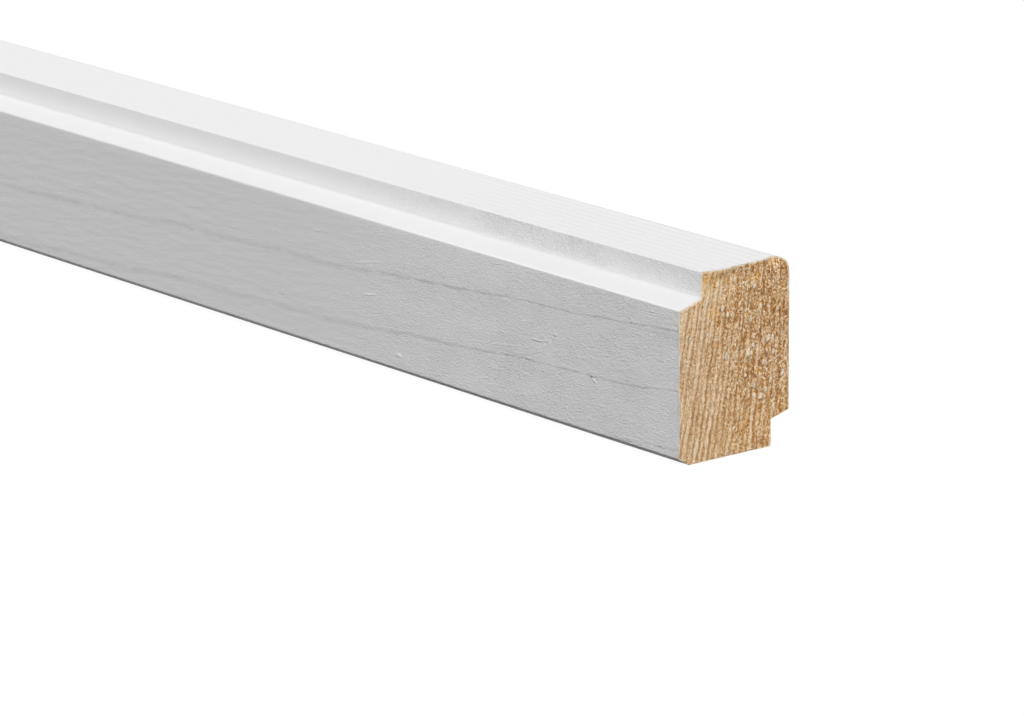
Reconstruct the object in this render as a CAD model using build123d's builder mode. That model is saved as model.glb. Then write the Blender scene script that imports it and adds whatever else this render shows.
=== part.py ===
from build123d import *
import os
from math import radians, tan

# Cover strip: one length of softwood, planed to a rebated section and sold with both ends sawn square.
# The strip runs along X. Its front face looks towards -Y and its base lies on Z = 0.
# The origin is under the middle of the strip, halfway between the front and back faces.
# All sizes are in millimetres and all angles in degrees.

# The blank, before the cutters shape it
length = 2400.0
width = 34.0
height = 45.0

# The rebate along the top of the front, with a floor that falls towards the front so that water runs off it
front_rebate_depth = 6.6
front_rebate_height = 6.3
front_rebate_fall = 15.0

# The rebate along the foot of the back, which laps over the edge of the frame that the strip covers
back_rebate_depth = 5.6
back_rebate_height = 6.5
back_rebate_rise = 15.0

# The worked long edges: a large round at the back, a bevel at the foot and two fine arrises above the front
back_round = 4.0
foot_bevel_depth = 2.8
foot_bevel_rise = 1.85
front_arris = 0.4
top_arris = 0.2

# What the cutters leave everywhere else: eased outer edges and slightly rounded inner corners
eased_edge = 0.3
cutter_nose = 0.5

# Places across the section, where y runs from front to back and z from the base up
front = -width / 2
back = width / 2
front_rebate_wall = front + front_rebate_depth
front_rebate_floor = height - front_rebate_height
front_rebate_lip = front_rebate_floor - front_rebate_depth * tan(radians(front_rebate_fall))
back_rebate_wall = back - back_rebate_depth
back_rebate_lip = back_rebate_height + back_rebate_depth * tan(radians(back_rebate_rise))


def corner_at(sketch, y, z):
    """The corner of the section nearest to that place."""
    return sketch.vertices().sort_by_distance((y, z))[0]


with BuildPart() as cover_strip:
    with BuildSketch(Plane.YZ) as section:
        # The planed blank stands on its base
        with Locations((0, height / 2)):
            Rectangle(width, height)

        # The front rebate takes the top corner of the front, down to its sloping floor
        with BuildLine():
            Polyline(
                (front_rebate_wall, height),
                (front_rebate_wall, front_rebate_floor),
                (front, front_rebate_lip),
                (front, height),
                close=True,
            )
        make_face(mode=Mode.SUBTRACT)

        # The back rebate takes the foot of the back, up to its sloping shoulder
        with BuildLine():
            Polyline(
                (back_rebate_wall, 0),
                (back_rebate_wall, back_rebate_height),
                (back, back_rebate_lip),
                (back, 0),
                close=True,
            )
        make_face(mode=Mode.SUBTRACT)

        # A flat bevel lifts the foot of the front clear of the surface below
        with BuildLine():
            Polyline(
                (front, 0),
                (front + foot_bevel_depth, 0),
                (front, foot_bevel_rise),
                close=True,
            )
        make_face(mode=Mode.SUBTRACT)

        # The back's top edge is the one large round
        fillet(corner_at(section, back, height), radius=back_round)

        # The two outer edges of the front rebate are almost sharp, rounded just enough to hold paint
        fillet(corner_at(section, front, front_rebate_lip), radius=front_arris)
        fillet(corner_at(section, front_rebate_wall, height), radius=top_arris)

        # The inner corners keep the nose radius of the cutters
        fillet(corner_at(section, front_rebate_wall, front_rebate_floor), radius=cutter_nose)
        fillet(corner_at(section, back_rebate_wall, back_rebate_height), radius=cutter_nose)

        # The other outer edges are only eased
        for y, z in (
            (back, back_rebate_lip),
            (back_rebate_wall, 0),
            (front + foot_bevel_depth, 0),
            (front, foot_bevel_rise),
        ):
            fillet(corner_at(section, y, z), radius=eased_edge)

    # The section is the same from one sawn end to the other
    extrude(amount=length / 2, both=True)

cover_strip.part.label = "cover_strip"

os.makedirs("parts", exist_ok=True)
export_step(cover_strip.part, "parts/cover_strip.step")
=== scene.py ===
# %% [markdown]
# # A primed softwood cover strip
#
# This lesson dresses one length of planed softwood: a strip with a rebate along the top of its front and
# another along the foot of its back, primed white on its long faces and left bare where the saw cut it.
# Its outline comes ready made from the drawing. What is left for Blender is everything that a hand would
# feel and a lens would catch: the torn end grain, the rings that print through the primer, the wrinkled
# paint, and the light that shows them.

# %% Start from the drawing
import math

import bmesh
import bpy
from mathutils import Matrix, Vector, noise
from mathutils.bvhtree import BVHTree


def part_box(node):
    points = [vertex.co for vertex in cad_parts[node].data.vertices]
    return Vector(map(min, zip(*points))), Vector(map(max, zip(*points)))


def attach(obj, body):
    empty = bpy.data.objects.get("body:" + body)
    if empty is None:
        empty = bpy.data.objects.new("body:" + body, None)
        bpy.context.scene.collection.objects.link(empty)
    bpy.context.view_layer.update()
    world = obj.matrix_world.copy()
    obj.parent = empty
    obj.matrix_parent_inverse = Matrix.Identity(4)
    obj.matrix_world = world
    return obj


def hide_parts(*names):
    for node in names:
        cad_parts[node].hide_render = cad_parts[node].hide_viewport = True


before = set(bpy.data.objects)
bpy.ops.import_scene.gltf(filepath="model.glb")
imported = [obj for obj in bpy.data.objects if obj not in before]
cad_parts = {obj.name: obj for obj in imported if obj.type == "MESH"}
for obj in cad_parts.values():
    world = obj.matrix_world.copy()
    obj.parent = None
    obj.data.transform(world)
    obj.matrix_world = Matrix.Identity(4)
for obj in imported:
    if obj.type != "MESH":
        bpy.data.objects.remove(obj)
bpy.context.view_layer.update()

MM = 0.001
NODE = "cover_strip"
low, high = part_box(NODE)
half_length = high.x / MM
half_width = high.y / MM
height = high.z / MM
print("strip, in mm:", [round(extent / MM) for extent in high - low])

# The front rebate as drawn: its depth, and the height of its sloping floor at the wall and at the lip
REBATE_DEPTH = 6.6
REBATE_FLOOR = 38.7
REBATE_LIP = 36.9

# %% [markdown]
# ## The growth rings are one field
#
# A board has no pattern on each face. It has one set of growth rings running through the solid, and every
# face shows its own cut through them. The rings stand almost upright in this strip, so the end shows them
# side on, the top shows them as close straight lines, and the front cuts them at so flat an angle that
# each ring leaves one long lazy line there.
#
# They could be painted face by face, but then the lines would not meet at the corners. A single formula
# for the distance across the rings keeps them together. It uses nothing but plain arithmetic and a sine,
# so the same lines of Python work on numbers, for the mesh, and on shader sockets, for the paint. Three
# gentle waves bend the rings as they run along the strip, and a small knot hidden behind the front pulls
# them down a little as they pass it.

# %% The ring formula, in millimetres
RING_GAP = 3.1
RING_LEAN = 0.22
LEAN_LOST_PER_MM = 0.0055
RING_PIVOT_HEIGHT = 18.6
FIBRE_SLOPE = 0.075
FIBRE_START = 3.2
LONG_BEND = (3.8, 109.0, -1.1)
SHORT_BEND = (0.33, 18.1, -0.74)
RIPPLE = (0.18, 7.3, 3.28)
BAND_START = 0.46 * math.pi
KNOT_ALONG, KNOT_HEIGHT = -17.0, 13.5
KNOT_LENGTH, KNOT_RADIUS = 13.0, 8.0
KNOT_PULL = 1.1


def wave(shape, along, sine):
    """A wave given by its height, its length for each radian and the angle that it starts from."""
    tall, long, start = shape
    return tall * sine(along / long + start)


def ring_place(x, y, z, sine):
    """How far across the rings a point lies. Whole multiples of the gap are the ring boundaries."""
    along = x - half_length
    from_front = y + half_width
    lean = RING_LEAN - LEAN_LOST_PER_MM * from_front
    drift = FIBRE_SLOPE * along + wave(LONG_BEND, along, sine) + FIBRE_START
    wander = wave(SHORT_BEND, along, sine) + wave(RIPPLE, along, sine)
    past_knot = (along - KNOT_ALONG) / KNOT_LENGTH
    over_knot = (z - KNOT_HEIGHT) / KNOT_RADIUS
    dip = KNOT_PULL / (1 + past_knot * past_knot + over_knot * over_knot)
    return from_front - lean * (z - RING_PIVOT_HEIGHT) + RING_LEAN * (drift + wander - dip)


def ring_tone(place, sine):
    """About -0.65 in dark wood and 1 in the pale band inside a ring, with a fainter second band."""
    turn = place * (2 * math.pi / RING_GAP) - BAND_START
    return 0.35 * sine(turn) + 0.65 * sine(2 * turn - math.pi / 2)


for height_up in (5, 20, 35):
    front_place = ring_place(half_length, -half_width, height_up, math.sin)
    print("front corner,", height_up, "mm up: ring", round(front_place / RING_GAP, 2))

# %% [markdown]
# ## A mesh fine enough to carry relief
#
# The drawing gives loose triangles that run the whole length of the strip, and no amount of sculpting can
# move a point that isn't there. The mesh needs rows along the strip, a tight grid on both ends, and
# stations along the length. A remesh would make an even net, and waste nearly all of it on the middle of
# the strip, where there is nothing to see.
#
# So a copy is merged and freed of its flat diagonals, and then sliced with planes, which cuts the long
# faces into rows and the ends into squares in one go.

# %% Merge a copy and slice it into rows
SAME_PLACE = 0.001
FLAT = math.radians(0.3)
ROW = 0.5
SNAP = 0.12

strip = bmesh.new()
strip.from_mesh(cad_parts[NODE].data)
bmesh.ops.scale(strip, vec=Vector((1, 1, 1)) / MM, verts=strip.verts)
bmesh.ops.remove_doubles(strip, verts=strip.verts, dist=SAME_PLACE)
bmesh.ops.dissolve_limit(strip, angle_limit=FLAT, verts=strip.verts, edges=strip.edges)
print("outline:", len(strip.verts) // 2, "corners")


def slice_across(normal, first, last):
    """Cuts the whole mesh at every row between two places along an axis."""
    for step in range(1, math.ceil((last - first) / ROW)):
        bmesh.ops.bisect_plane(
            strip,
            geom=strip.verts[:] + strip.edges[:] + strip.faces[:],
            dist=SNAP,
            plane_co=Vector(normal) * (first + step * ROW),
            plane_no=normal,
        )


slice_across((0, 1, 0), -half_width, half_width)
slice_across((0, 0, 1), 0, height)
print("rows:", sum(edge.calc_length() > half_length for edge in strip.edges))

# %% [markdown]
# Next come the stations along the length, cut into every long edge at once. They start out evenly spaced,
# and a square law then crowds them towards the two ends, where the relief is and the eye goes.

# %% Cut the stations and crowd them towards the ends
STATIONS = 120

long_edges = [edge for edge in strip.edges if edge.calc_length() > half_length]
bmesh.ops.subdivide_edges(strip, edges=long_edges, cuts=STATIONS, use_grid_fill=True)
for vert in strip.verts:
    part_way = abs(vert.co.x) / half_length
    vert.co.x = math.copysign(half_length * (1 - (1 - part_way) ** 2), vert.co.x)
print("after the stations:", len(strip.faces), "faces")

# %% [markdown]
# The ends need a finer net still. Only the edges inside an end are halved, so the rows along the strip
# stay as they are. An end is told from the painted faces by the way its normals point, and each kind of
# face gets its material's number now, while both are still flat. Shading is smooth but for sharp edges.

# %% Halve the squares on both ends
PAINT, END_GRAIN = 0, 1
CRISP = math.radians(30)

for face in strip.faces:
    face.smooth = True
    face.material_index = END_GRAIN if abs(face.normal.x) > 0.9 else PAINT
inner_edges = [
    edge for edge in strip.edges if all(face.material_index == END_GRAIN for face in edge.link_faces)
]
bmesh.ops.subdivide_edges(strip, edges=inner_edges, cuts=1, use_grid_fill=True)
for edge in strip.edges:
    if len(edge.link_faces) == 2 and edge.calc_face_angle() > CRISP:
        edge.smooth = False
print("faces now:", len(strip.faces))

# %% [markdown]
# ## The line of the cut
#
# No saw cuts quite square or quite flat. This cut falls back a little towards the top and the back, two
# stretches of the top edge are left standing, and one bite is torn out of it just before the round. On
# top of that the whole edge is frayed, most of all at the front.
#
# The cut could be modelled as a slanted plane with notches, but a fall-back worked out for each point does
# the same and never crosses itself. Points only ever move inwards, so the strip stays within its drawing.
# The far end, which the photo does not show, gets the same slant and the same notches, turned over.
#
# The numbers of a notch are its place from the front and up from the foot, half its width, half its height
# and its depth. A depth below zero is wood left standing.

# %% How far the cut falls back, in millimetres
CUT_BACK = 0.65
CUT_LEAN = 0.010
CUT_SKEW = 0.0145
EDGE_SHIFTS = {
    "torn out before the round": (29.4, 45.0, 3.6, 2.6, 1.25),
    "left standing on the top": (12.6, 45.0, 6.0, 3.0, -0.75),
    "left standing, nearer the middle": (20.5, 45.0, 5.0, 2.5, -0.25),
}
LEAST_FRAY, MEAN_FRAY = 0.05, 0.34
BITE = 0.24
FRONT_BITE, BITE_FADE = 1.4, 38
LONG_BITES, SHORT_BITES = 0.3, 0.85


def place_on_end(point):
    """How far a point lies from the front of its own end, and how far up it lies there."""
    side = math.copysign(1, point.x)
    return side * point.y + half_width, point.z if side > 0 else height - point.z


def cut_back(point):
    """How far the cut has fallen back from the full length, by its slant and by its notches."""
    from_front, up = place_on_end(point)
    back_by = CUT_BACK + CUT_LEAN * point.z + CUT_SKEW * (point.y + half_width)
    for shift_y, shift_z, wide, tall, shift in EDGE_SHIFTS.values():
        reach = math.hypot((from_front - shift_y) / wide, (up - shift_z) / tall)
        back_by += shift * max(0, 1 - reach * reach) ** 2
    return max(0, back_by)


def edge_fray(point):
    """How far the very edge is broken back, in long bites and in short ones."""
    roughness = FRONT_BITE - place_on_end(point)[0] / BITE_FADE
    bites = BITE * noise.noise(point * LONG_BITES) + BITE * noise.noise(point * SHORT_BITES)
    return max(LEAST_FRAY, MEAN_FRAY + roughness * bites)


near_bottom = Vector((half_length, -half_width, 0))
print("front foot of the cut:", round(cut_back(near_bottom) + edge_fray(near_bottom), 2), "mm back")

# %% [markdown]
# ## Torn fibres
#
# A saw does not slice wood fibres, it breaks them. The pale early wood tears out a little deeper than the
# hard late wood, bundles of fibres leave short level furrows, single cells leave pits, and a few loose
# flakes stay pressed onto the face. At the outline the skin of primer ends in a thin ragged lip.
#
# All of that is real height here. The distance from the outline, the flakes and the depth of the tears
# are stored on the mesh as well, so the material can colour the same flakes and the same tears. The flakes
# lie where the photo has them.

# %% Where the loose flakes lie: from the front, up, and size
FLAKES = {
    "high": (13.1, 35.5, 1.1),
    "high, under it": (14.6, 33.8, 0.9),
    "upper middle": (21.8, 31.6, 1.0),
    "near the top": (23.0, 39.3, 0.9),
    "beside that": (20.4, 40.3, 0.8),
    "right of middle": (27.3, 26.1, 1.2),
    "middle": (21.1, 23.8, 1.3),
    "left of middle": (14.3, 24.2, 0.9),
    "far right": (28.9, 22.7, 0.9),
    "right, lower": (25.8, 20.8, 1.0),
    "right edge": (31.8, 17.2, 1.0),
    "right, lower still": (28.1, 16.1, 0.9),
    "under the middle": (23.1, 15.5, 0.7),
    "lower right": (25.0, 12.7, 1.1),
    "foot": (16.7, 6.4, 0.7),
    "front edge": (3.2, 29.8, 0.7),
    "left": (8.5, 30.1, 0.6),
    "right, beside it": (29.9, 20.2, 0.6),
    "right, over the lower": (27.0, 18.6, 0.6),
    "right, low": (26.6, 14.1, 0.7),
    "right, high": (28.4, 29.3, 0.6),
    "middle, low": (20.2, 18.3, 0.6),
    "middle, beside it": (22.6, 25.3, 0.6),
    "middle, high": (18.9, 34.4, 0.6),
}
FLAKE_LEAN = 0.25
FLAKE_SLIM = 0.58
FLAKE_SCALE = 0.82


def rough(point, across, along_ring, shift=0.0):
    """Smooth noise from -1 to 1, with one size across the rings and another along them."""
    return noise.noise(Vector((point.x + shift, point.y / across, point.z / along_ring)))


def flake_at(point):
    """1 on a flake and less and less outside it, with a ragged outline."""
    from_front, up = place_on_end(point)
    ragged = 0.5 * rough(point, 0.9, 0.9, 9)
    most = 0
    for flake_y, flake_z, size in FLAKES.values():
        step_z = up - flake_z
        step_y = (from_front - flake_y - FLAKE_LEAN * step_z) / FLAKE_SLIM
        reach = math.hypot(step_y, step_z) / (FLAKE_SCALE * size) + ragged
        most = max(most, min(1, 1.1 - 0.6 * reach))
    return most


print("flakes on each end:", len(FLAKES))

# %% [markdown]
# The tear itself is a sum of noises of different sizes. Hard late wood stands a little proud in it, the
# flakes stand out from it, and away from the front it swells, because the wood is coarser there.

# %% How deep the wood is torn, in millimetres
MEAN_TEAR = 0.24
BAND_STEP = 0.03
COARSE_TEAR, FINE_TEAR = 0.14, 0.18
PIT_DEPTH, FURROW_DEPTH = 0.5, 0.30
FLAKE_RISE = 0.22
SWELL_WIDTH = 20


def tear_depth(point, flake):
    """How deep the wood is torn at a point, away from the outline."""
    place = ring_place(point.x, point.y, point.z, math.sin)
    tone = ring_tone(place + 0.25 * rough(point, 2.0, 4.0), math.sin)
    swell = 0.5 + 0.7 * min(1, place_on_end(point)[0] / SWELL_WIDTH)
    coarse = rough(point, 1.4, 2.2, 3)
    fine = rough(point, 0.55, 0.9, 5)
    pit = max(0, rough(point, 0.5, 0.6, 33) - 0.25)
    furrow = max(0, rough(point, 1.2, 0.3, 17)) * max(0, 0.4 + rough(point, 9, 7, 21))
    return (
        MEAN_TEAR
        + BAND_STEP * tone
        + swell * (COARSE_TEAR * coarse + FINE_TEAR * fine + PIT_DEPTH * pit)
        + FURROW_DEPTH * furrow
        - FLAKE_RISE * min(1, max(0, 3 * flake - 1))
    )


middle_of_end = Vector((half_length, 0, height / 2))
print("tear in the middle of the end:", round(tear_depth(middle_of_end, 0), 2), "mm")

# %% [markdown]
# With the formulas ready, the ends can be torn in one pass. How far a point lies from the outline is asked
# of the painted faces themselves, through a search tree. Right at the outline the fray decides, half a
# millimetre further in the tear does, and in between one fades into the other.

# %% Tear the ends
LIP = 0.5

outline_tree = BVHTree.FromPolygons(
    [vert.co for vert in strip.verts],
    [[vert.index for vert in face.verts] for face in strip.faces if face.material_index == PAINT],
)
rim_layer = strip.verts.layers.float.new("rim")
flake_layer = strip.verts.layers.float.new("flake")
torn_layer = strip.verts.layers.float.new("torn")
end_verts = {vert for face in strip.faces if face.material_index == END_GRAIN for vert in face.verts}
painted = [vert for vert in strip.verts if vert not in end_verts]

deepest = 0
for vert in end_verts:
    point = vert.co.copy()
    rim = outline_tree.find_nearest(point)[3]
    flake = flake_at(point)
    inside = min(1, rim / LIP)
    torn = max(0, edge_fray(point) * (1 - inside) + tear_depth(point, flake) * inside)
    vert[rim_layer] = rim
    vert[flake_layer] = flake
    vert[torn_layer] = torn
    vert.co.x -= math.copysign(torn + cut_back(point), point.x)
    deepest = max(deepest, torn)
print("deepest tear:", round(deepest, 2), "mm")

# %% [markdown]
# The painted faces have to fall back with the cut, or their last squares would fold over at the edge. They
# share the step out over a stretch behind it, less and less, so that no crease shows.

# %% Let the painted faces follow the cut
FOLLOW = 30.0

followers = 0
for vert in painted:
    from_end = half_length - abs(vert.co.x)
    if from_end < FOLLOW:
        side = math.copysign(1, vert.co.x)
        edge = Vector((side * half_length, vert.co.y, vert.co.z))
        vert.co.x -= side * (edge_fray(edge) + cut_back(edge)) * (1 - from_end / FOLLOW) ** 2
        followers += 1
print("painted points that follow:", followers)

# %% [markdown]
# ## The rings print through the primer
#
# Primer is a thin coat. As the wood under it swells and shrinks with the weather, the soft bands rise and
# sink and their shape comes through as ridges of a few hundredths of a millimetre, too low to see head on
# and plain to see in light that skims the face. The planer adds its own long, low waves.
#
# Each painted point moves inwards along its own normal by the same ring formula, so a ridge on the top
# meets its ring on the end. The floor of the rebate and the upper part of the front show no print.
#
# The photo goes soft a hand's width behind the end. That is the lens, not the wood, but a strip with crisp
# ridges there would not look like the photo. So there is a calm stretch, where the print fades.

# %% Press the rings into the painted faces
PRINT_DEPTH = 0.085
WAVE_DEPTH = 0.03
PLANER_LENGTH, PLANER_WIDTH = 35, 5
PRINT_TOP = 30
CALM_START, CALM_END = 50, 700
PRINT_CALM_RISE, CALM_FALL = 120, 300

strip.normal_update()
for vert in painted:
    x, y, z = vert.co
    from_end = half_length - abs(x)
    calm = max(0, min(1, (from_end - CALM_START) / PRINT_CALM_RISE, (CALM_END - from_end) / CALM_FALL))
    clean_cut = y < REBATE_DEPTH - 0.1 - half_width and z > PRINT_TOP
    swelling = 0.5 + 0.5 * math.sin(2 * math.pi * ring_place(x, y, z, math.sin) / RING_GAP)
    planer_place = Vector((x / PLANER_LENGTH, y / PLANER_WIDTH, z / PLANER_WIDTH))
    planer_wave = 0.5 + 0.5 * noise.noise(planer_place)
    print_through = PRINT_DEPTH * (1 - 0.8 * calm) * (0 if clean_cut else 1)
    vert.co -= vert.normal * (print_through * swelling + WAVE_DEPTH * planer_wave)
print("painted points pressed in:", len(painted))

# %% [markdown]
# ## An object that takes the drawing's place
#
# The sculpting was done in millimetres, because such numbers can be held against a ruler. Blender counts in
# metres, so the mesh shrinks a thousandfold before it becomes an object. The object stands at the origin,
# as the drawing does, rides on the root body, and the drawn piece that it replaces is hidden.

# %% Finish the mesh
bmesh.ops.scale(strip, vec=Vector((MM, MM, MM)), verts=strip.verts)
mesh = bpy.data.meshes.new("primed_strip")
strip.to_mesh(mesh)
mesh.calc_loop_triangles()
print("triangles:", len(mesh.loop_triangles))
strip.free()
piece = bpy.data.objects.new("primed_strip", mesh)
bpy.context.scene.collection.objects.link(piece)
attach(piece, "root")
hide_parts(NODE)

# %% [markdown]
# ## Sums instead of sockets
#
# A material is a formula, and a formula is easiest to read as one. The small class below wraps a shader
# socket and answers to plain arithmetic by adding the node that does the same sum. It has a sine as well,
# so the ring formula works on it as it stands.


# %% Shader arithmetic
class Wire:
    """One value inside a shader."""

    def __init__(self, finish, socket):
        self.finish = finish
        self.socket = socket

    def maths(self, operation, *values):
        return self.finish.node("Math", {"operation": operation}, dict(enumerate(values)))

    def __add__(self, other):
        return self.maths("ADD", self, other)

    def __sub__(self, other):
        return self.maths("SUBTRACT", self, other)

    def __rsub__(self, other):
        return self.maths("SUBTRACT", other, self)

    def __mul__(self, other):
        return self.maths("MULTIPLY", self, other)

    def __truediv__(self, other):
        return self.maths("DIVIDE", self, other)

    def __rtruediv__(self, other):
        return self.maths("DIVIDE", other, self)

    __radd__ = __add__
    __rmul__ = __mul__

    def sine(self):
        return self.maths("SINE", self)

    def size(self):
        """The value without its sign."""
        return self.maths("ABSOLUTE", self)

    def fold(self, width):
        """Climbs from 0 to the width and comes back, over and over, like a folded strip of paper."""
        return self.maths("PINGPONG", self, width)

    def larger(self, other):
        return self.maths("MAXIMUM", self, other)

    def smaller(self, other):
        return self.maths("MINIMUM", self, other)

    def between(self, start, end):
        """Rises smoothly from 0 at the start to 1 at the end. The start may be the higher of the two."""
        return self.finish.node(
            "MapRange",
            {"interpolation_type": "SMOOTHSTEP"},
            {"Value": self, "From Min": start, "From Max": end},
        )


print("sums that a wire can do:", [name for name in vars(Wire) if not name.startswith("_")])

# %% [markdown]
# A second class owns the node tree of a material or of the sky. Every node is added through its one method,
# which sets the node up, fills or links its inputs and hands back the output that is wanted. With that, the
# two things that the materials below ask for again and again are one line each: a cloud of noise, and a
# blend of two colours.

# %% One way to add a node
CLOUD_GAIN = 4.5


class Finish:
    """The node tree of a material or of the sky."""

    def __init__(self, owner):
        owner.use_nodes = True
        self.tree = owner.node_tree
        self.tree.nodes.clear()

    def node(self, kind, settings=None, values=None, out=0):
        """Adds a node, sets it up, fills or links its inputs and hands back one of its outputs."""
        made = self.tree.nodes.new("ShaderNode" + kind)
        for name, setting in (settings or {}).items():
            setattr(made, name, setting)
        for name, value in (values or {}).items():
            socket = self.pick(made.inputs, name)
            if isinstance(value, Wire):
                self.tree.links.new(value.socket, socket)
            else:
                socket.default_value = value
        return Wire(self, self.pick(made.outputs, out)) if made.outputs else None

    def pick(self, sockets, name):
        """A socket by its number, or by its name among those in use."""
        if isinstance(name, int):
            return sockets[name]
        return next(socket for socket in sockets if socket.name == name and socket.enabled)

    def split(self, vector):
        """The three parts of a vector."""
        first = self.node("SeparateXYZ", {}, {"Vector": vector})
        return [Wire(self, socket) for socket in first.socket.node.outputs]

    def cloud(self, x, y, z, detail=2, roughness=0.5):
        """Noise around 0, mostly between -1 and 1, whose lumps are about one unit wide."""
        where = self.node("CombineXYZ", {}, {"X": x, "Y": y, "Z": z})
        values = {"Vector": where, "Scale": 1, "Detail": detail, "Roughness": roughness}
        return (self.node("TexNoise", {}, values) - 0.5) * CLOUD_GAIN

    def blend(self, mask, under, over):
        """One colour over another, as far as the mask lets it through."""
        return self.node("Mix", {"data_type": "RGBA"}, {"Factor": mask, "A": under, "B": over}, "Result")


def colour(red, green, blue):
    """A colour with full opacity."""
    return (red, green, blue, 1)


print("white as a colour:", colour(1, 1, 1))

# %% [markdown]
# ## White primer
#
# Factory primer goes on as a thin matt coat, is dried in a tunnel and is never rubbed down. It shrinks into
# tiny wrinkles that run with the grain, it sags into the fine crack where each growth ring ends, and it
# locks in whatever dust was in the air.
#
# A picture wrapped round the strip would have to be painted first, and would blur close up. Here every
# effect is a formula of the place on the strip instead. So first of all the material has to know where it
# is: how far along, how far from the front, and on which of the worked faces. The calm stretch of the ring
# print comes back for the paint. Each of these values fades in rather than switches on, so that no border
# of it shows.

# %% Tell the primer where it is
GRAIN_RISE = 0.085
PAINT_CALM_RISE = 105
FRONT_FADE = (0.6, 0.3)
HIGH_UP_FADE = (26, 31)
SMOOTH_FADE = (25, 60)

primer = bpy.data.materials.new("primer")
mesh.materials.append(primer)
coat = Finish(primer)
x, y, z = [axis / MM for axis in coat.split(coat.node("TexCoord", {}, {}, "Object"))]
along = x - half_length + CUT_BACK
grain_z = z - GRAIN_RISE * along
from_front = y + half_width
from_end = half_length - x.size()
calm = from_end.between(CALM_START, CALM_START + PAINT_CALM_RISE)
calm = calm * from_end.between(CALM_END, CALM_END - CALM_FALL)
lively = 1 - 0.9 * calm

on_front = from_front.between(*FRONT_FADE)
above_lip = z.between(REBATE_LIP - 0.3, REBATE_LIP + 0.2)
in_rebate = from_front.between(REBATE_DEPTH + 0.5, REBATE_DEPTH + 0.2) * above_lip
above_floor = z.between(REBATE_FLOOR + 0.1, REBATE_FLOOR + 1.5)
on_wall = from_front.between(REBATE_DEPTH - 0.4, REBATE_DEPTH - 0.1) * in_rebate * above_floor
on_top = z.between(height - 0.7, height - 0.2)
high_up = z.between(*HIGH_UP_FADE)
smoother = on_front * high_up * from_end.between(*SMOOTH_FADE)
print("nodes that find the place:", len(coat.tree.nodes))

# %% [markdown]
# One noise stretched along the fibres makes the wrinkles, and a much broader one fades them in and out in
# patches. Pimples, flecks and nibs of dust sit on top. The wall of the rebate is cut by a side cutter, whose
# chatter leaves it livelier than the faces that went over the planer table, and on the calm stretch little
# is left but a slow undulation.
#
# Each noise gets its place divided by the size of its lumps in millimetres, along, across and up.

# %% Wrinkles, dust and chatter
NIB_SPACING = 4.5

wrinkle = coat.cloud(along / 0.8, y / 0.42, grain_z / 0.4, 3, 0.7)
streak = coat.cloud(along / 6, y / 1.1, grain_z / 0.9, 2)
patch = coat.cloud(along / 14, y / 8, grain_z / 7, 1).between(-0.9, 0.7)
pimple = coat.cloud(along / 0.4, y / 0.4, z / 0.4, 1)
glint_and_shade_speckle = coat.cloud(along / 0.55, y / 0.3, z / 0.27, 1)
fleck = coat.cloud(along / 1.2, y / 0.5, z / 0.45, 1).between(0.3, 1.1)
undulation = coat.cloud(along / 9, y / 2.2, grain_z / 1.8, 2)
chatter = coat.cloud((along + 0.3 * z) / 0.6, y, z / 0.38, 2, 0.6)
nib_place = coat.node("CombineXYZ", {}, {"X": along / NIB_SPACING, "Y": (y + z) / NIB_SPACING})
nib_values = {"Vector": nib_place, "Scale": 1}
nib_distance = coat.node("TexVoronoi", {"voronoi_dimensions": "2D"}, nib_values, "Distance")
nib = nib_distance.between(0.07, 0.02)
print("nodes with the noises:", len(coat.tree.nodes))

# %% [markdown]
# A crack runs where one growth ring ends and the next begins. The ring formula, folded at half the gap
# between rings, is the distance to the nearest such line on any face. The line wobbles a little, and a
# noise of its own makes the crack fade and come back.

# %% Fine cracks along the rings
CRACK_REACH, CRACK_CORE = 0.085, 0.01
CALM_CRACK_REACH = 0.22

wobble = coat.cloud(along / 4, y / 5, grain_z / 3, 3, 0.7)
place = ring_place(x, y, z, Wire.sine) + 0.06 * wobble
to_crack = place.fold(RING_GAP / 2) + 0.02 * pimple * lively
crack_strength = coat.cloud(along / 5, y / 9, z / 4, 3, 0.6).between(-1.5, 0.8) * (1 - in_rebate)
crack_strength = crack_strength * (1 - 0.65 * calm) * (1 - 0.8 * calm * high_up)
crack = to_crack.between(CRACK_REACH + CALM_CRACK_REACH * calm, CRACK_CORE) * crack_strength
print("nodes with the cracks:", len(coat.tree.nodes))

# %% [markdown]
# Some marks are not noise. A scratch, a curled fibre, a few nicks and a small knot each have one place on the
# front, and whoever knows the strip looks for them there. Each is an oval, turned to run with the grain,
# steep below and with a long slope above that catches the light.
#
# The numbers are the place along from the near end and up from the foot, half the length and half the
# width, the turn, and the strength.

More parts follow.
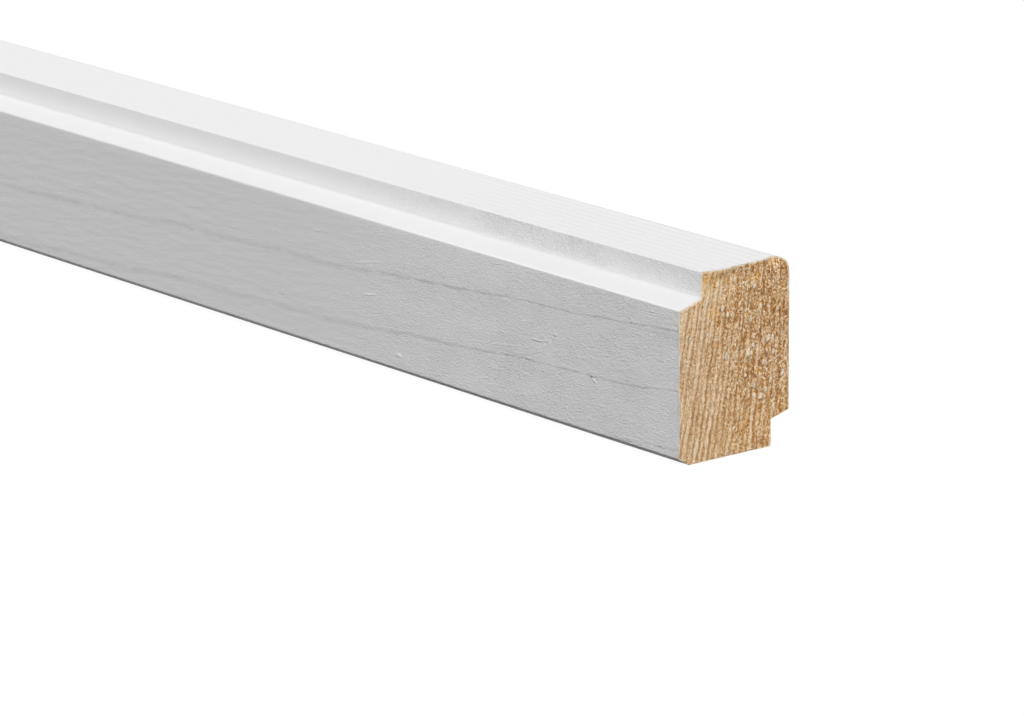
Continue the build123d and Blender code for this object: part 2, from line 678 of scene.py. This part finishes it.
# %% Scratches, nicks and a small knot
MARKS = {
    "scratch, first half": (-52.6, 19.75, 2.2, 0.34, 0.0, 1.9),
    "scratch, second half": (-49.2, 20.1, 2.2, 0.34, 0.19, 1.9),
    "speck": (-45.2, 22.4, 0.7, 0.5, 0.0, 2.2),
    "tail of the speck": (-44.6, 21.6, 0.5, 0.35, 0.0, 1.2),
    "curled fibre": (-31.0, 14.2, 0.9, 0.5, -0.6, 2.6),
    "upper nick": (-67.2, 35.4, 2.6, 0.3, 0.12, 1.2),
    "corner nick": (-10.2, 35.0, 0.9, 0.35, 0.0, 1.8),
    "far scratch": (-138.0, 30.4, 2.6, 0.4, 0.0, 0.4),
    "far nick": (-116.7, 18.2, 4.0, 0.4, 0.18, 0.7),
    "blob": (-105.0, 5.2, 1.5, 0.8, 0.0, 1.4),
    "long fibre": (-67.0, 15.8, 15.0, 0.35, 0.132, 0.35),
    "far fibre": (-117.5, 26.2, 8.0, 0.5, 0.18, 0.4),
    "short fibre": (-63.7, 19.3, 2.0, 0.25, 0.17, 1.0),
    "fleck beyond the scratch": (-57.1, 21.3, 1.2, 0.3, 0.1, 0.5),
    "fleck, middle": (-74.1, 21.6, 1.2, 0.3, 0.0, 0.5),
    "fleck over the long fibre": (-82.7, 15.8, 1.5, 0.3, 0.0, 0.5),
    "fleck near the foot": (-78.8, 3.9, 1.4, 0.3, 0.0, 0.6),
    "fleck on the upper crack": (-16.6, 31.1, 1.2, 0.3, 0.0, 0.8),
}
DENTS = {
    "knot by the curled fibre": (-31.9, 14.9, 0.55, 0.4, 0.0, 2.0),
    "dark nick": (-152.5, 11.2, 1.6, 0.6, 0.08, 0.4),
}
MARK_LEAN = 0.8


def marks_on_front(marks):
    """Small ovals on the front face, each turned and raised by its own amount."""
    total = 0
    for mark_along, mark_z, long, wide, turn, strength in marks.values():
        step_x = along - mark_along
        step_z = z - mark_z - turn * step_x
        reach = (step_x / long) * (step_x / long) + (step_z / wide) * (step_z / wide)
        leaning = 1 - MARK_LEAN * step_z / wide
        total = reach.between(1, 0) * leaning * strength + total
    return total * on_front


raised = marks_on_front(MARKS)
dented = marks_on_front(DENTS)
print("marks:", len(MARKS), "raised,", len(DENTS), "dented")

# %% [markdown]
# The height of all this goes into one bump, because as real points it would need a mesh of many millions.
# Its parts are named in millimetres.

# %% The height of the paint
WRINKLE_HEIGHT, FLECK_HEIGHT = 0.11, 0.12
STREAK_HEIGHT, PIMPLE_HEIGHT, NIB_HEIGHT = 0.02, 0.02, 0.07
CHATTER_HEIGHT, UNDULATION_HEIGHT = 0.13, 0.032
MARK_HEIGHT, CRACK_DEPTH, DENT_DEPTH = 0.09, 0.05, 0.12

share = 1 - 0.8 * in_rebate - 0.7 * on_top - 0.3 * smoother
crumpled = (WRINKLE_HEIGHT * wrinkle + FLECK_HEIGHT * fleck) * (0.75 + 0.3 * patch)
dusty = STREAK_HEIGHT * streak * patch + PIMPLE_HEIGHT * pimple + NIB_HEIGHT * nib
relief = lively * share * (crumpled + dusty)
relief = relief + CHATTER_HEIGHT * chatter * on_wall * lively * (0.6 + 0.4 * patch)
relief = relief + UNDULATION_HEIGHT * undulation * calm * (1 - in_rebate) * (1 - 0.7 * on_top)
relief = relief + MARK_HEIGHT * raised - CRACK_DEPTH * crack - DENT_DEPTH * dented
normal = coat.node("Bump", {}, {"Strength": 1, "Distance": MM, "Height": relief}, "Normal")
print("nodes with the height:", len(coat.tree.nodes))

# %% [markdown]
# Height alone leaves a matt white too even. So light and shade are painted into the brightness as well:
# painted shade in cracks and dents, a painted highlight on raised marks, painted light that makes the wall
# of the rebate and the top of the front paler, a little painted shade on the floor of the rebate and on
# the front of the calm stretch, and a fine speckle of painted glints and shade that keeps the lively
# stretches from looking like plastic.

# %% The brightness of the paint, and its shader
PRIMER_WHITE, WHITEST = 0.93, 0.98
PRIMER_ROUGHNESS = 0.62

# Painted light and shade: a pale band under the arris, the front darker on the calm stretch and a little
# paler near the end, and the rebate a little darker.
arris_highlight = z.between(REBATE_LIP - 2.3, REBATE_LIP + 0.3) * on_front
shade = PRIMER_WHITE - (0.10 - 0.135 * lively) * on_front + 0.045 * arris_highlight - 0.03 * in_rebate
# Painted light: the wall of the rebate is paler, for the light that the floor of the rebate throws onto it.
shade = shade + (0.1 - 0.055 * calm) * on_wall
# Painted highlight on raised marks, and painted shade in cracks and dents.
shade = shade + 0.11 * raised - 0.25 * crack - 0.14 * dented
# Painted glints and shade: a fine speckle over the lively stretches, strongest on the wall.
speckled = lively * (1 - 0.8 * on_top) * (1 - in_rebate + 2.0 * on_wall) * (0.7 + 0.5 * patch)
shade = (shade + 0.04 * glint_and_shade_speckle * speckled).smaller(WHITEST)
white = coat.node("CombineColor", {}, {"Red": shade, "Green": shade, "Blue": shade})
primer_shader = coat.node(
    "BsdfPrincipled",
    {},
    {
        "Base Color": white,
        "Roughness": PRIMER_ROUGHNESS + 0.05 * wrinkle,
        "Normal": normal,
        "IOR": 1.45,
        "Specular IOR Level": 0.3,
    },
)
coat.node("OutputMaterial", {}, {"Surface": primer_shader})
print("primer nodes:", len(coat.tree.nodes))

# %% [markdown]
# ## Bare end grain
#
# Cut across, pine shows the broken mouths of its fibres. The early wood is a pale cream fuzz, the late wood
# an orange brown, and the two change places every millimetre or two without ever making a clean edge,
# because the saw drags fibres from one band over the next.
#
# The mesh already has the heights, and hands on what it knows of each point: how far the outline is, how
# deep the tear, and whether a flake lies there. The rest is again a formula of the place. Parts of this end
# look different and get a value each: the wood turns coarser and more golden towards the back, and is
# painted a little darker there as shade; it is golden but finer near the top, and the bands are clearest
# low down.

# %% Tell the end grain where it is
SAW_SLANT = 0.35
FAR_SIDE_FADE = (4, 24)
UPPER_FADE, UPPER_SIDE_FADE = (28, 40), (26, 16)
LOW_DOWN_FADE = (22, 8)
COARSE_FADE = (6, 22)
RIM_FADE = (0.2, 0.6)

end_grain = bpy.data.materials.new("end_grain")
mesh.materials.append(end_grain)
wood = Finish(end_grain)
x, y, z = [axis / MM for axis in wood.split(wood.node("TexCoord", {}, {}, "Object"))]
rim, flake, torn = [
    wood.node("Attribute", {"attribute_name": name}, {}, "Fac") for name in ("rim", "flake", "torn")
]
facing = 2 * x.between(-1, 1) - 1
from_front = facing * y + half_width
place = ring_place(x, y, z, Wire.sine)
slant = z + SAW_SLANT * y

far_side = from_front.between(*FAR_SIDE_FADE)
upper = z.between(*UPPER_FADE) * from_front.between(*UPPER_SIDE_FADE)
low_down = z.between(*LOW_DOWN_FADE)
coarse = far_side * (0.2 + 0.8 * z.between(*COARSE_FADE))
golden = (0.85 * far_side + 0.7 * upper).smaller(1)
inside = rim.between(*RIM_FADE)
print("nodes that find the place:", len(wood.tree.nodes))

# %% [markdown]
# A clean ring pattern would look printed on. Two noises push the rings about before their tone is taken,
# one to fray the edge of each band and one to bend it, and three more make bands stronger, broken and
# striped from place to place. The late wood of each ring is found by folding the formula, as for the cracks.

# %% Bands with frayed edges
LATE_WOOD = 0.74 * RING_GAP

fray = wood.cloud(x, place / 0.9, slant / 1.6, 3, 0.65)
bend = wood.cloud(x, y / 4, z / 9, 1)
ringed = place + 0.14 * fray + 0.30 * bend
tone = ring_tone(ringed, Wire.sine)
late = (ringed - LATE_WOOD).fold(RING_GAP / 2).between(0.5, 0.1)
band = wood.cloud(x, place / 4, z / 12, 1).between(-0.9, 0.7)
unbroken = 0.35 + 0.65 * wood.cloud(x, place / 1.2, slant / 5, 2, 0.6).between(-0.7, 0.5)
stripe = wood.cloud(x, (place + 0.12 * fray) / 1.3, slant / 14, 2, 0.6)
print("nodes with the bands:", len(wood.tree.nodes))

# %% [markdown]
# Inside the bands the torn fibres show. Threads run with the rings, fuzz and grit are the broken mouths
# themselves, the comb is what the teeth drew across, and gaps open where a bundle came away. The paleness
# of a point adds all of that up.

# %% Threads, fuzz, grit and gaps
thread = wood.cloud(x, (place + 0.10 * fray) / 0.48, slant / 4, 2, 0.6)
fuzz = wood.cloud(x, place / 0.42, slant / 0.6, 2, 0.65)
grit = wood.cloud(x, place / 0.33, (z - 0.5 * y) / 0.27, 1)
comb = wood.cloud(x, y / 0.9, slant / 0.24, 2)
combed = wood.cloud(x, y / 5, z / 5, 1).between(-0.1, 1.0)
broad = wood.cloud(x, y / 6, z / 9, 1)
gap = wood.cloud(x, (place + 0.15 * fray) / 0.8, slant / 2.0, 1).between(0.25, 0.85)
paleness = (
    0.62
    + (0.66 + 0.20 * low_down) * tone * unbroken * (0.6 + 0.4 * band) * (1 - 0.3 * coarse)
    + 0.22 * stripe
    + (0.45 + 0.20 * coarse - 0.18 * upper) * thread
    + (0.42 + 0.50 * coarse) * fuzz
    + (0.74 + 0.42 * coarse - 0.15 * low_down - 0.18 * upper) * grit
    + 0.30 * comb * combed
    + 0.12 * broad
    # Painted shade: a little darker towards the back of the end.
    - 0.10 * far_side
    + 0.20 * upper
)
print("nodes with the fibres:", len(wood.tree.nodes))

# %% [markdown]
# Resin has bled into the wood at the corner above the rebate, and gold, amber and rust stains lie elsewhere.
# Like the marks on the front they have their places, on the near end only. The numbers are the place from
# the front and up from the foot, half the width, half the height, and the strength.

# %% Resin and rust stains
STAINS = {
    "resin in the corner": (8.3, 43.6, 1.3, 1.6, 1.0),
    "resin beside the corner": (10.8, 43.0, 1.0, 1.6, 0.8),
    "resin along the top": (13.6, 42.9, 1.2, 1.4, 0.8),
    "resin under the corner": (7.6, 40.5, 0.9, 2.4, 0.5),
    "brown under the top": (23.0, 41.2, 1.8, 1.6, 0.9),
    "brown at the top edge": (22.5, 44.0, 1.6, 0.9, 0.8),
    "gold at the round": (32.2, 42.0, 1.2, 1.6, 0.6),
    "gold, upper left": (10.9, 34.6, 1.3, 2.8, 0.8),
    "amber dot": (11.5, 26.9, 0.8, 0.9, 0.6),
    "rust, upper right": (30.1, 34.6, 1.6, 1.4, 0.4),
    "gold, right": (27.3, 30.7, 1.6, 1.2, 0.4),
    "gold, right of middle": (26.7, 24.4, 1.2, 2.0, 0.4),
    "gold, lower right": (24.2, 19.5, 1.2, 2.2, 0.4),
}

stain = 0
for stain_y, stain_z, wide, tall, strength in STAINS.values():
    step_y = (from_front - stain_y) / wide
    step_z = (z - stain_z) / tall
    reach = step_y * step_y + step_z * step_z + 0.5 * fray
    stain = reach.between(1.8, 0.1) * strength + stain
stain = (stain * x.between(0, 1)).smaller(1)
paleness = paleness - 0.35 * stain
print("stains:", len(STAINS))

# %% [markdown]
# Now the paleness becomes a colour, in layers. First comes wood from dark to pale, golden or stained where
# it should be, then the russet of the late wood, then painted shade in deep tears and gaps. One ramp through
# all of it would be shorter, but it could not turn golden in one place and stay cool in another.

# %% The colours of the wood, from dark to pale
PALE_WOOD = colour(1.0, 0.82, 0.59)
MID_WOOD = colour(0.77, 0.475, 0.235)
DARK_WOOD = colour(0.46, 0.24, 0.10)
GOLDEN_WOOD = colour(0.82, 0.47, 0.17)
GOLDEN_DARK_WOOD = colour(0.40, 0.155, 0.03)
RUSSET_WOOD = colour(0.48, 0.23, 0.09)
PAINTED_SHADE_WOOD = colour(0.33, 0.125, 0.022)
RESIN = colour(0.91, 0.52, 0.17)
DARK_RESIN = colour(0.68, 0.34, 0.08)

dark_wood = wood.blend(stain, wood.blend(golden, DARK_WOOD, GOLDEN_DARK_WOOD), DARK_RESIN)
mid_wood = wood.blend(stain, wood.blend(golden, MID_WOOD, GOLDEN_WOOD), RESIN)
lit_wood = wood.blend(paleness.between(-0.3, 0.5), dark_wood, mid_wood)
lit_wood = wood.blend(paleness.between(0.4, 1.2), lit_wood, PALE_WOOD)
lit_wood = wood.blend(0.5 * late * (0.4 + 0.6 * band), lit_wood, RUSSET_WOOD)
# Painted shade in the deep tears and, below, in the gaps.
deep = (torn - 0.05 * fuzz).between(0.28, 0.46) * (0.4 + 0.6 * coarse) * inside
lit_wood = wood.blend(0.7 * deep, lit_wood, PAINTED_SHADE_WOOD)
lit_wood = wood.blend(gap * inside * (0.18 + 0.64 * coarse) * (1 - 0.3 * upper), lit_wood, PAINTED_SHADE_WOOD)
print("nodes with the colours:", len(wood.tree.nodes))

# %% [markdown]
# Last comes whatever lies on top: pale specks, the flakes with a rim of painted shadow round each, and at
# the outline the thin lip of primer, which is wider along the upper part of the end, where it is partly a
# painted highlight on the edge that catches the light.

# %% Specks, flakes and the lip of primer
FLAKE_WOOD = colour(1.0, 0.87, 0.67)
LIP_WHITE = colour(0.98, 0.86, 0.70)
LIP_WIDTH, UPPER_LIP_AND_HIGHLIGHT_GAIN = 0.16, 0.34

speck = (grit + 0.6 * fuzz).between(0.75, 1.25) * (0.4 + 0.5 * coarse)
lit_wood = wood.blend(speck, lit_wood, FLAKE_WOOD)
ragged = flake + 0.07 * fuzz + 0.07 * grit
# Painted shadow in a rim round each flake.
lit_wood = wood.blend(0.35 * ragged.between(0.12, 0.32), lit_wood, PAINTED_SHADE_WOOD)
flaky = ragged.between(0.42, 0.54)
lit_wood = wood.blend(flaky * (0.88 + 0.2 * thread), lit_wood, FLAKE_WOOD)
# Along the upper part of the end the lip is wider, partly primer and partly a painted highlight where that
# edge catches the light.
lip_width = LIP_WIDTH + UPPER_LIP_AND_HIGHLIGHT_GAIN * z.between(REBATE_LIP - 2.9, REBATE_LIP + 0.1)
lip = ((rim + 0.14 * fuzz + 0.07 * grit) / lip_width).between(1.1, 0.4)
lit_wood = wood.blend(0.75 * lip, lit_wood, LIP_WHITE)
print("nodes with all colours:", len(wood.tree.nodes))

# %% [markdown]
# The mesh can only carry tears as wide as its squares, a quarter of a millimetre. What is finer goes into a
# bump, made of the same noises as the colour, so that high and low match pale and dark.

# %% The shader of the end grain
WOOD_ROUGHNESS = 0.75

wood_relief = 0.10 * fuzz + 0.06 * grit + 0.06 * comb * combed + 0.05 * thread
wood_relief = wood_relief + 0.12 * flaky - 0.10 * gap * coarse
wood_normal = wood.node("Bump", {}, {"Strength": 1, "Distance": MM, "Height": wood_relief}, "Normal")
wood_shader = wood.node(
    "BsdfPrincipled",
    {},
    {
        "Base Color": lit_wood,
        "Roughness": WOOD_ROUGHNESS + 0.1 * fuzz,
        "Normal": wood_normal,
        "Specular IOR Level": 0.25,
    },
)
wood.node("OutputMaterial", {}, {"Surface": wood_shader})
print("end grain nodes:", len(wood.tree.nodes))

# %% [markdown]
# ## A white studio
#
# The piece is shown on a bright white sweep of paper, under a large soft box and beside a broad key light.
# Paper that bright would throw light up under everything and kill the shadow under the foot bevel, which is
# dark. So the floor glows only for the camera and for reflections and stays fairly dark for the light that
# bounces, the way a stage would with black cloth just out of frame.

# %% The floor
FLOOR_REACH = 40
FLOOR_DARK = 0.07
FLOOR_PALE = 0.10
FLOOR_GLOW = 0.94
DIRECT_RAYS = ("Is Camera Ray", "Is Glossy Ray", "Is Transmission Ray")

floor_shape = bmesh.new()
bmesh.ops.create_grid(floor_shape, x_segments=1, y_segments=1, size=FLOOR_REACH)
floor_mesh = bpy.data.meshes.new("floor")
floor_shape.to_mesh(floor_mesh)
floor_shape.free()
floor = bpy.data.objects.new("floor", floor_mesh)
bpy.context.scene.collection.objects.link(floor)


def seen_directly(finish):
    """1 for rays from the camera, a mirror or a glass, and 0 for soft bounced light."""
    camera_ray, mirror_ray, glass_ray = [finish.node("LightPath", {}, {}, kind) for kind in DIRECT_RAYS]
    return camera_ray.larger(mirror_ray).larger(glass_ray)


floor_finish = bpy.data.materials.new("floor")
floor_mesh.materials.append(floor_finish)
paper = Finish(floor_finish)
seen = seen_directly(paper)
grey = FLOOR_DARK + (FLOOR_PALE - FLOOR_DARK) * seen
grey = paper.node("CombineColor", {}, {"Red": grey, "Green": grey, "Blue": grey})
matt = paper.node("BsdfDiffuse", {}, {"Color": grey})
glow = paper.node("Emission", {}, {"Strength": FLOOR_GLOW * seen})
paper.node("OutputMaterial", {}, {"Surface": paper.node("AddShader", {}, {0: matt, 1: glow})})
print("floor nodes:", len(paper.tree.nodes))

# %% [markdown]
# The soft box is the sky itself, an even white that is slightly dimmer for the light that it gives than for
# the eye. The key light is a sun with a very wide disc. It stands beyond the sawn end, so it lights the
# end, skims the front and the top, and leaves soft shadows. A small lamp would need exact placing to do
# the same over the whole length.

# %% The sky and the key light
SKY_LEVEL = 0.83
KEY_FROM = Vector((0.48, -0.215, 0.27))
KEY_SPREAD = math.radians(50)

world = bpy.data.worlds.new("studio")
bpy.context.scene.world = world
sky = Finish(world)
strength = SKY_LEVEL + (1 - SKY_LEVEL) * seen_directly(sky)
sky.node("OutputWorld", {}, {"Surface": sky.node("Background", {}, {"Strength": strength})})

key = bpy.data.objects.new("key", bpy.data.lights.new("key", "SUN"))
key.data.energy = KEY_FROM.length * math.pi
key.data.angle = KEY_SPREAD
key.rotation_mode = "QUATERNION"
key.rotation_quaternion = KEY_FROM.to_track_quat("Z", "Y")
bpy.context.scene.collection.objects.link(key)
print("strength of the key light:", round(key.data.energy, 2))

# %% [markdown]
# The camera was solved from the edges of the strip in the photo: two angles, a focal length in pixels, and
# how far the near bottom corner of the cut lies away, to the right and up. A camera placed by those numbers
# can be checked by anyone who measures the photo again. One that is dragged into place can't.

# %% The camera
AZIMUTH = math.radians(50.986)
ELEVATION = math.radians(14.792)
FOCAL_PIXELS = 5656.8
IMAGE_WIDTH = 1024
SENSOR = 36.0
AWAY, AIM_RIGHT, AIM_UP = 1297.71, 38.320, -25.114
CORNER_FRAY = 0.37

back = Vector(
    (math.sin(AZIMUTH) * math.cos(ELEVATION), -math.cos(AZIMUTH) * math.cos(ELEVATION), math.sin(ELEVATION))
)
right = Vector((math.cos(AZIMUTH), math.sin(AZIMUTH), 0))
up = back.cross(right)
near_corner = Vector((half_length - CUT_BACK - CORNER_FRAY, -half_width, 0))
camera_place = (near_corner + AWAY * back - AIM_RIGHT * right - AIM_UP * up) * MM
camera = bpy.data.objects.new("camera", bpy.data.cameras.new("camera"))
camera.data.sensor_width = SENSOR
camera.data.lens = SENSOR * FOCAL_PIXELS / IMAGE_WIDTH
camera.data.clip_start = 0.1
camera.data.clip_end = 200
camera.matrix_world = Matrix.Translation(camera_place) @ Matrix((right, up, back)).transposed().to_4x4()
bpy.context.scene.collection.objects.link(camera)
bpy.context.scene.camera = camera

view = bpy.context.scene.view_settings
view.view_transform = "Standard"
print("lens, in mm:", round(camera.data.lens, 1))

# %% [markdown]
# ## Hand over
#
# Dressing must not change a part's size for anyone who plans with the drawing.
